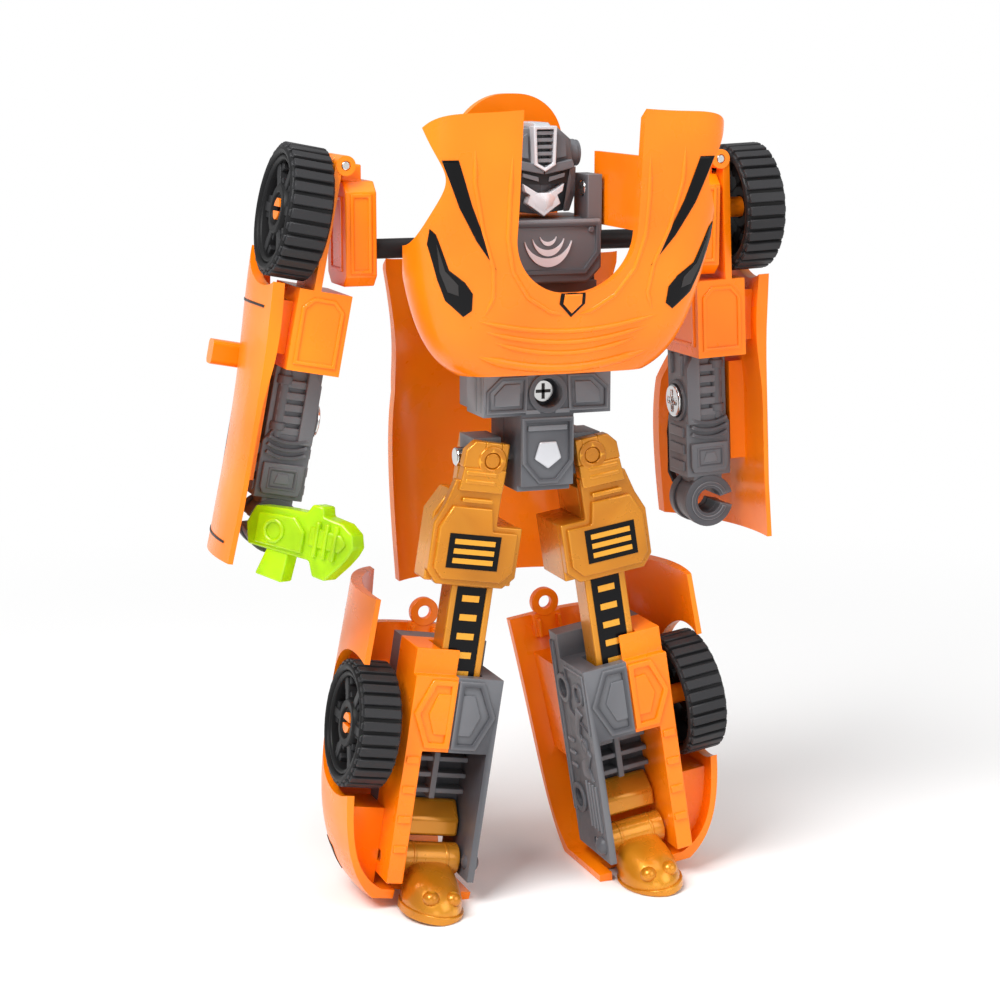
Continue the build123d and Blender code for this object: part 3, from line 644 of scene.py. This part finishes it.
# ---- abdomen and pelvis ----
belly = Shape()
for s in (1, -1):
    rim = ((3.5, 78.5), (9.9, 78.5), (9.9, 82.0), (7.6, 84.1), (3.2, 84.1))
    belly.band([(s * x, u) for x, u in rim], 0.6, (1.12, 1.6))
    field = ((4.6, 79.6), (8.6, 79.6), (8.6, 81.4), (7.0, 83.0), (4.4, 83.0))
    belly.prism([(s * x, u) for x, u in field], (1.2, 1.6))
    for v in (2.2, 4.4):
        belly.box((s * 9.2, s * 10.5), (v, v + 0.8), (78.6, 84.0))
    belly.box((s * 1.2, s * 3.6), (1.2, 1.6), (78.2, 78.9))
belly.ring(BELLY_SCREW, 3.1, 2.25, (1.05, 1.6))
belly.band([(-4.2, 77.6), (4.2, 77.6), (4.2, 70.6), (1.5, 67.4), (-1.5, 67.4), (-4.2, 70.6)],
           0.7, (0.95, 1.6))
belly.box((-3.2, 3.2), (1.1, 1.6), (75.6, 76.4))
belly.finish("belly_plates", GREY, "torso", torso_place, 0.12)
bolt = Shape()
bolt.rod(BELLY_SCREW, 1.75, (3.3, 4.4))
bolt.finish("belly_screw", STEEL, "torso", torso_place, 0.15)
# The cross on the screw's head is a flat dark piece laid on it: painted shade where the real cross recess
# is.
drive = Shape()
drive.box((-1.2, 1.2), (3.24, 3.5), (81.15, 81.65))
drive.box((-0.25, 0.25), (3.24, 3.5), (80.2, 82.6))
drive.finish("belly_screw_drive_shade", DARK, "torso", torso_place, 0.0)

# ---- roof plate: dark glass outside ----
decal("windshield",
      [(-14.0, 79.6), (-12.6, 78.9), (12.6, 78.9), (14.0, 79.6), (18.2, 95.6), (17.4, 97.4),
       (-17.4, 97.4), (-18.2, 95.6)], "roof_plate", "torso", torso_place, BLACK_PAINT, cuts=5)

# ---- wheels ----
TREADS, SPOKES = 30, 6


def make_wheel(name, side, centre_u, body, place):
    """A ribbed tyre and a spoked rim; the profiles are (radius, distance from the car's middle)."""
    hub = (AXLE_V, centre_u)
    tyre = Shape(side)
    tyre.lathe([(8.0, 23.3), (8.3, 23.95), (8.9, 24.15), (9.35, 23.8), (9.45, 23.3), (9.45, 18.1),
                (9.3, 17.5), (8.8, 17.25), (8.3, 17.5), (8.1, 18.1)], hub)
    tyre.around(hub, TREADS, 9.2, 9.95, 0.72, (17.75, 23.65))
    tyre.around(hub, TREADS, 8.3, 9.5, 0.5, (17.45, 23.95))
    tyre.finish(name + "_tyre", BLACK, body, place, 0.12, 1, instead=[body])
    rim = Shape(side)
    rim.lathe([(8.15, 23.5), (7.75, 23.75), (7.3, 23.5), (7.1, 22.4), (7.1, 21.2), (7.7, 18.0),
               (8.15, 17.8)], hub)
    rim.lathe([(4.0, 22.8), (3.6, 23.5), (2.5, 23.5), (2.3, 22.9), (1.7, 22.9), (1.7, 20.4), (3.2, 20.4),
               (4.0, 21.2)], hub)
    rim.around(hub, SPOKES, 3.6, 7.5, 0.72, (21.3, 23.15))
    rim.around(hub, SPOKES, 5.9, 7.5, 1.7, (21.5, 22.9))
    rim.around(hub, SPOKES, 3.2, 4.7, 1.35, (21.5, 22.9))
    rim.finish(name + "_rim", BLACK, body, place, 0.15)


# ---- arms ----
def make_forearm(name, side):
    """The grey forearm with its hook of a hand."""
    bone = Shape(side)
    bone.box((11.4, 18.6), (12.6, 19.2), (73.6, 84.9))
    bone.prism([(11.2, 64.7), (18.9, 64.7), (18.9, 73.4), (17.6, 75.2), (12.0, 75.2), (11.2, 73.8)],
               (12.0, 19.2))
    bone.prism([(11.3, 73.4), (11.3, 82.6), (12.4, 84.8), (13.6, 84.8), (13.6, 73.4)], (11.4, 13.0))
    for low_u in (74.6, 76.4, 78.2, 80.0, 81.8):
        bone.box((13.4, 17.6), (11.9, 12.9), (low_u, low_u + 1.15))
    for low_u, high_u, radius in ((74.0, 84.6, 0.95), (75.2, 76.4, 1.25), (82.2, 83.6, 1.25)):
        bone.rod((16.9, 12.7), radius, (low_u, high_u), "xv")
    bone.prism([(12.2, 65.4), (17.8, 65.4), (18.3, 66.4), (18.3, 70.2), (11.8, 70.2), (11.8, 66.4)],
               (11.35, 12.2))
    bone.band([(12.8, 66.2), (17.4, 66.2), (17.4, 69.5), (12.8, 69.5)], 0.5, (11.2, 11.6))
    bone.prism([(13.8, 67.1), (16.4, 67.1), (15.9, 68.7), (14.3, 68.7)], (11.2, 11.6))
    for rise in (0.0, 1.2, 2.4):
        bone.ring((15.1, 78.0 + rise), 7.2, 6.6, (11.35, 12.3), start=243.0, sweep=54.0, steps=12)
    for low_u, high_u in ((65.6, 67.2), (68.4, 70.0), (71.2, 72.8)):
        bone.box((10.85, 11.7), (12.8, 18.0), (low_u, high_u))
        bone.box((18.7, 19.2), (12.8, 18.0), (low_u, high_u))
    for v in (13.0, 16.9):
        bone.box((10.95, 11.6), (v, v + 0.9), (81.2, 84.6))
    bone.ring((15.3, 77.0), 3.4, 2.72, (10.85, 11.6), "vu")
    for radius, span in ((4.25, (12.0, 13.6)), (3.9, (13.6, 17.0)), (4.25, (17.0, 18.6))):
        bone.ring(FIST, radius, 2.02, span, start=14.5, sweep=331.0)
    bone.ring(FIST, 3.2, 2.5, (11.8, 12.1), start=20.0, sweep=320.0)
    bone.box((12.5, 17.5), (12.3, 18.4), (63.2, 65.0))
    bone.finish(f"{name}_forearm_shell", GREY, f"{name}_arm", arm_place(name), 0.15,
                instead=[f"{name}_forearm"])


def make_arm_panels(name, side):
    """Raised frames on the upper arm and the shoulder block."""
    cuff = Shape(side)
    cuff.band([(11.6, 86.0), (18.2, 86.0), (18.2, 94.6), (16.6, 96.2), (13.2, 96.2), (11.6, 94.6)],
              0.6, (5.35, 6.2))
    cuff.band([(7.0, 86.6), (17.6, 86.6), (17.6, 95.4), (7.0, 95.4)], 0.6, (10.55, 11.4), "vu")
    cuff.finish(f"{name}_arm_panels", ORANGE, f"{name}_arm", arm_place(name), 0.12)
    panel = Shape(side)
    panel.band([(11.4, 100.0), (14.7, 100.0), (14.7, 111.8), (11.4, 111.8)], 0.55, (5.35, 6.0))
    panel.band([(7.6, 100.2), (13.6, 100.2), (13.6, 111.4), (7.6, 111.4)], 0.6, (15.0, 15.55), "vu")
    panel.finish(f"{name}_shoulder_panels", ORANGE, f"{name}_shoulder", shoulder_place(name), 0.12)


def paint_door(name, side):
    """The side window, dark on both faces, and the door's printed lines."""
    window = [(24.8, 58.6), (24.2, 70.0), (23.7, 81.0), (23.2, 88.6), (25.4, 86.0), (28.2, 80.4),
              (30.2, 75.0), (31.2, 69.0), (31.0, 62.0), (29.0, 58.0)]
    mid_v, mid_u = 27.0, 71.0
    small = [(mid_v + (v - mid_v) * 0.74, mid_u + (u - mid_u) * 0.9) for v, u in window]
    door = (f"{name}_door", f"{name}_arm", arm_place(name))
    decal(f"{name}_window", window, *door, BLACK_PAINT, side, "in", FAR_OUTSIDE)
    decal(f"{name}_window_back", window, *door, BLACK_PAINT, side, "out", BEHIND_DOOR)
    decal(f"{name}_window_brown", small, *door, BROWN_PAINT, side, "out", BEHIND_DOOR, lift=0.16)
    for i, u in enumerate((57.6, 93.4)):
        decal(f"{name}_door_line_{i}", [(8.2, u), (22.0, u), (22.0, u + 0.35), (8.2, u + 0.35)],
              *door, DARK, side, "in", FAR_OUTSIDE, cuts=3)


# ---- legs ----
def make_thigh(name, side):
    """The gold thigh with its sliding shaft and their printed stripes."""
    place, body = thigh_place(name), f"{name}_thigh"
    thigh = Shape(side)
    thigh.prism([(1.5, 53.0), (3.4, 51.2), (14.4, 51.2), (16.0, 53.2), (16.0, 60.6), (14.6, 63.6),
                 (13.4, 67.6), (5.7, 67.6), (5.7, 60.9), (1.5, 60.9)], (3.7, 5.4))
    thigh.prism([(2.3, 53.9), (4.0, 52.1), (13.8, 52.1), (15.2, 53.8), (15.2, 60.2), (13.4, 63.6),
                 (7.0, 63.6), (6.4, 60.1), (2.3, 60.1)], (3.05, 3.9))
    thigh.prism([(5.9, 66.0), (13.0, 66.0), (12.6, 69.7), (5.7, 69.7)], (3.1, 5.4))
    thigh.box((5.7, 6.9), (3.3, 5.4), (69.6, 73.8))
    thigh.prism([(9.5, 69.6), (12.8, 69.6), (12.6, 72.2), (11.2, 73.8), (9.5, 73.8)], (3.3, 5.4))
    thigh.box((6.8, 9.6), (3.3, 5.4), (72.25, 73.8))
    thigh.ring((8.2, 71.0), 2.3, 1.26, (3.05, 5.3))
    thigh.box((1.5, 10.1), (5.3, 14.8), (51.4, 60.8))
    thigh.box((5.7, 10.1), (5.3, 14.8), (60.7, 65.9))
    thigh.box((5.7, 7.0), (12.7, 14.8), (65.8, 73.8))
    thigh.box((9.4, 10.1), (12.7, 14.8), (65.8, 73.8))
    thigh.box((6.9, 9.5), (12.7, 14.8), (65.8, 69.7))
    thigh.prism([(10.0, 51.4), (15.8, 51.4), (15.8, 62.0), (13.6, 65.8), (10.0, 65.8)], (5.3, 10.3))
    thigh.box((4.7, 11.1), (5.0, 10.0), (31.2, 51.6))
    for x in ((4.45, 5.5), (10.3, 11.35)):
        thigh.box(x, (4.62, 5.4), (31.1, 51.2))
    for u in (64.3, 67.2, 68.5):
        thigh.box((7.2, 12.2), (2.9, 3.4), (u, u + 0.7))
    thigh.finish(f"{name}_thigh_shell", GOLD, body, place, 0.28, 3, instead=[f"{name}_thigh"])
    plate = Shape(side)
    plate.box((5.0, 13.4), (2.95, 3.2), (54.0, 59.4))
    plate.box((5.5, 10.3), (4.8, 5.1), (32.6, 50.9))
    plate.finish(f"{name}_thigh_print", BLACK_PAINT, body, place, 0.0)
    bars = Shape(side)
    for u in (54.8, 56.3, 57.8):
        bars.box((5.9, 12.5), (2.85, 3.1), (u, u + 0.8))
    for step in range(6):
        bars.box((6.5, 9.3), (4.7, 4.95), (33.6 + 3.0 * step, 34.6 + 3.0 * step))
    bars.finish(f"{name}_thigh_bars", GOLD, body, place, 0.0)


def make_shin(name, side):
    """The shin's relief, and the rear quarter's eyelet, lamp and lines."""
    place, body = shin_place(name), f"{name}_shin"
    grey = Shape(side)
    grey.band([(8.45, 32.6), (4.4, 32.6), (1.8, 38.0), (4.4, 43.5), (8.45, 43.5)], 0.9, (2.15, 2.9))
    grey.prism([(8.45, 34.8), (5.6, 34.8), (4.2, 38.0), (5.6, 41.3), (8.45, 41.3)], (2.3, 2.9))
    for u in (23.4, 26.0, 28.6):
        grey.box((2.3, 12.8), (9.8, 12.6), (u, u + 0.8))
    grey.box((7.2, 8.2), (9.4, 12.6), (22.6, 30.2))
    for v, u, radius in ((12.4, 20.0, 2.5), (12.4, 39.0, 2.5), (6.0, 39.4, 1.9), (6.4, 30.6, 1.3)):
        grey.ring((v, u), radius, radius * 0.64, (0.85, 1.4), "vu")
    for v in (4.0, 5.3, 6.6, 7.9):
        grey.box((0.9, 1.4), (v, v + 0.6), (16.2, 24.2))
    grey.prism([(4.4, 25.0), (8.6, 25.0), (8.6, 27.4), (6.0, 29.0), (9.6, 31.8), (8.0, 36.8), (5.6, 36.0),
                (6.6, 35.0), (7.6, 32.2), (4.2, 29.4), (5.8, 27.0)], (0.9, 1.4), "vu")
    for v in (14.5, 15.4):
        grey.box((0.9, 1.4), (v, v + 0.4), (17.0, 46.5))
    grey.band([(3.2, 33.0), (11.0, 35.6), (11.0, 43.2), (3.2, 43.2)], 0.45, (0.95, 1.4), "vu")
    for u in (25.4, 27.6, 29.8):
        grey.box((0.9, 1.4), (11.2, 13.6), (u, u + 0.6))
    grey.ball((1.4, 5.0, 13.8), (1.4, 1.6, 1.6))
    grey.finish(f"{name}_shin_relief", GREY, body, place, 0.14)
    outer = Shape(side)
    outer.band([(8.75, 32.6), (12.8, 32.6), (15.2, 38.0), (12.8, 43.5), (8.75, 43.5)], 0.9, (2.15, 2.9))
    outer.prism([(8.75, 34.8), (11.6, 34.8), (12.8, 38.0), (11.6, 41.3), (8.75, 41.3)], (2.3, 2.9))
    for u in (15.6, 20.4, 25.2, 30.0):
        outer.box((13.2, 15.3), (2.3, 3.0), (u, u + 1.2))
    outer.finish(f"{name}_shin_relief_outer", ORANGE, body, place, 0.14)
    quarter = (f"{name}_quarter", body, place)
    decal(f"{name}_tail_lamp", [(14.6, 9.0), (14.0, 12.6), (17.4, 13.6), (18.6, 9.6)],
          *quarter, BLACK_PAINT, side, "in", FAR_OUTSIDE)
    tab = Shape(side)
    tab.box((3.6, 8.4), (29.7, 30.9), (42.6, 46.6))
    tab.box((3.7, 8.3), (30.7, 32.2), (42.7, 44.6))
    tab.ring((6.0, 48.4), 2.4, 1.1, (29.6, 31.0))
    for x in (3.9, 7.5):
        tab.box((x, x + 0.6), (28.6, 30.0), (42.8, 46.0))
    tab.finish(f"{name}_quarter_tab", ORANGE, body, place, 0.15)
    for i, u in enumerate((44.0, 49.0)):
        decal(f"{name}_quarter_line_{i}", [(23.5, u), (31.0, u - 2.0), (31.0, u - 1.7), (23.5, u + 0.3)],
              *quarter, DARK, side, "in", FAR_OUTSIDE, cuts=3)


def make_boot(name, side):
    """The gold foot: its levels are (height, half width, toe, heel)."""
    place = shin_place(name)
    boot = Shape(side)
    rounds = [2 * pi * i / BOOT_STEPS for i in range(BOOT_STEPS)]
    levels = ((6.35, 4.6, -3.2, 9.4), (7.6, 4.7, -3.5, 9.8), (9.2, 4.6, -2.9, 10.2),
              (10.6, 4.3, -1.4, 10.3), (11.8, 3.9, 0.6, 10.3), (12.8, 3.4, 3.0, 10.2),
              (13.4, 2.8, 5.2, 10.0))
    boot.hull([
        (BOOT_X + half * cos(t), (front + heel) / 2 + (heel - front) / 2 * sin(t), u)
        for u, half, front, heel in levels for t in rounds
    ])
    for x in (BOOT_X - 1.8, BOOT_X + 1.8):
        boot.ball((x, -1.4, 9.7), (1.35, 1.35, 1.25))
    boot.hull([(BOOT_X + 5.0 * cos(t), 3.0 + 6.95 * sin(t), u) for u in (6.2, 7.5) for t in rounds])
    boot.rod(TOE_PIN, 2.5, (2.8, 12.4), "vu")
    for x in (4.6, 10.0):
        boot.ring(TOE_PIN, 2.55, 1.6, (x, x + 0.6), "vu")
    boot.cut_at_floor(place)
    boot.finish(f"{name}_boot", GOLD, f"{name}_toe", place, 0.2, instead=[f"{name}_toe"])


for name, side in SIDES.items():
    make_forearm(name, side)
    make_arm_panels(name, side)
    paint_door(name, side)
    make_wheel(f"{name}_front", side, FRONT_AXLE_U, f"{name}_front_wheel", arm_place(name))
    make_thigh(name, side)
    make_shin(name, side)
    make_wheel(f"{name}_rear", side, REAR_AXLE_U, f"{name}_rear_wheel", shin_place(name))
    make_boot(name, side)

# ---- blaster: a peg in the fist, its body turned forwards and inwards ----
grip = arm_place("right")
gun_turn = Matrix.Rotation(radians(-48.0), 4, "Z")
gun_place = grip @ about(car(-FIST[0], FIST_V, FIST[1]), gun_turn)
peg = Shape(-1)
peg.rod(FIST, 1.9, (6.0, 19.2))
peg.lathe([(1.0, 19.35), (1.93, 18.9), (1.93, 17.6), (1.2, 17.2), (0.4, 17.2), (0.4, 19.35)],
          FIST, "xu")
peg.finish("blaster_peg", NEON, "blaster", grip, 0.15)


def gun(points):
    """Points measured from the fist's middle, towards the muzzle and up."""
    return [(FIST[0] - along, FIST[1] + up) for along, up in points]


body = Shape(-1)
body.prism(gun([(-4.6, -2.6), (-5.4, 0.6), (-4.2, 3.4), (1.0, 4.0), (4.8, 4.2), (5.6, 5.6), (7.4, 5.6),
                (7.8, 4.2), (11.2, 3.8), (13.0, 2.6), (13.6, 0.6), (13.0, -0.8), (11.8, -2.6),
                (9.6, -5.2), (7.4, -5.0), (6.4, -2.8)]), (5.2, 8.8))
body.prism(gun([(-3.2, -2.0), (-3.2, 2.6), (3.2, 3.2), (5.2, 1.2), (5.2, -2.0)]), (4.6, 9.4))
body.prism(gun([(2.6, -2.4), (-1.2, -2.4), (-2.6, -6.8), (2.2, -7.2)]), (5.4, 8.6))
body.prism(gun([(6.0, -0.6), (6.0, 2.4), (11.4, 2.2), (12.4, 0.8), (11.4, -0.6)]), (4.8, 9.2))
for along in (7.0, 8.6, 10.2):
    body.prism(gun([(along, -2.0), (along, 3.4), (along + 0.7, 3.4), (along + 0.7, -2.0)]), (4.5, 9.5))
body.ring(gun([(0.0, 0.4)])[0], 1.9, 1.2, (4.2, 9.8))
body.finish("blaster_body", NEON, "blaster", gun_place, 0.3, 3, instead=["blaster"])

# ---- floor, camera and light ----
# The floor fades to plain white around the object, so it has no visible edge.
floor_mesh = bmesh.new()
bmesh.ops.create_grid(floor_mesh, x_segments=1, y_segments=1, size=6.0)
floor_data = bpy.data.meshes.new("floor")
floor_mesh.to_mesh(floor_data)
floor_mesh.free()
floor = bpy.data.objects.new("floor", floor_data)
floor.location.z = -0.00005
bpy.context.scene.collection.objects.link(floor)
floor_material, floor_tree, floor_shader = new_material("floor")
floor_shader.inputs["Base Color"].default_value = (0.93, 0.93, 0.93, 1.0)
floor_shader.inputs["Roughness"].default_value = 0.6
glow = floor_tree.nodes.new("ShaderNodeEmission")
place = floor_tree.nodes.new("ShaderNodeTexCoord")
reach = floor_tree.nodes.new("ShaderNodeVectorMath")
reach.operation = "LENGTH"
fade = floor_tree.nodes.new("ShaderNodeMapRange")
fade.interpolation_type = "SMOOTHSTEP"
fade.inputs["From Min"].default_value = 0.05
fade.inputs["From Max"].default_value = 0.30
blend = floor_tree.nodes.new("ShaderNodeMixShader")
floor_tree.links.new(place.outputs["Object"], reach.inputs[0])
floor_tree.links.new(reach.outputs["Value"], fade.inputs["Value"])
floor_tree.links.new(fade.outputs["Result"], blend.inputs["Fac"])
floor_tree.links.new(floor_shader.outputs["BSDF"], blend.inputs[1])
floor_tree.links.new(glow.outputs["Emission"], blend.inputs[2])
floor_tree.links.new(blend.outputs["Shader"], floor_tree.nodes["Material Output"].inputs["Surface"])
floor_data.materials.append(floor_material)
floor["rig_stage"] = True

low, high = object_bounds()
middle = (low + high) / 2
camera_data = bpy.data.cameras.new("camera")
camera_data.lens = 85.0
camera_data.sensor_width = 36.0
camera = bpy.data.objects.new("camera", camera_data)
bpy.context.scene.collection.objects.link(camera)
camera_data.clip_start = 0.01
camera_data.clip_end = 20.0
bpy.context.scene.camera = camera


def aim(thing, azimuth_deg, elevation_deg, distance):
    """Puts a camera or lamp round the object and turns it to the object's middle."""
    azimuth, elevation = radians(azimuth_deg), radians(elevation_deg)
    away = Vector((sin(azimuth) * cos(elevation), -cos(azimuth) * cos(elevation), sin(elevation)))
    thing.location = middle + away * distance
    thing.rotation_mode = "QUATERNION"
    thing.rotation_quaternion = (-away).to_track_quat("-Z", "Y")


def lamp(name, azimuth_deg, elevation_deg, distance, size, power):
    """A rectangular lamp; its size and distance are in metres and its power in watts."""
    data = bpy.data.lights.new(name, "AREA")
    data.shape = "RECTANGLE"
    data.size, data.size_y = size
    data.energy = power
    data.spread = pi
    light = bpy.data.objects.new(name, data)
    bpy.context.scene.collection.objects.link(light)
    aim(light, azimuth_deg, elevation_deg, distance)


aim(camera, -20.0, 11.0, 0.372)
lamp("key", -55.0, 48.0, 0.55, (0.28, 0.28), 3.5)
lamp("fill", 35.0, 25.0, 0.60, (0.40, 0.40), 1.1)
lamp("top", 0.0, 88.0, 0.60, (0.45, 0.45), 0.9)
lamp("low_front", -20.0, 2.0, 0.70, (0.35, 0.20), 0.35)

# The camera sees the world white; everything else is lit by a dimmer one.
world = bpy.data.worlds.new("studio")
bpy.context.scene.world = world
world.use_nodes = True
world_tree = world.node_tree
sky = world_tree.nodes["Background"]
sky.inputs["Color"].default_value = (1.0, 1.0, 1.0, 1.0)
sky.inputs["Strength"].default_value = 0.42
seen = world_tree.nodes.new("ShaderNodeBackground")
seen.inputs["Color"].default_value = (1.0, 1.0, 1.0, 1.0)
path = world_tree.nodes.new("ShaderNodeLightPath")
choose = world_tree.nodes.new("ShaderNodeMixShader")
world_tree.links.new(path.outputs["Is Camera Ray"], choose.inputs["Fac"])
world_tree.links.new(sky.outputs["Background"], choose.inputs[1])
world_tree.links.new(seen.outputs["Background"], choose.inputs[2])
world_tree.links.new(choose.outputs["Shader"], world_tree.nodes["World Output"].inputs["Surface"])
bpy.context.scene.view_settings.view_transform = "Standard"
bpy.context.scene.view_settings.look = "None"
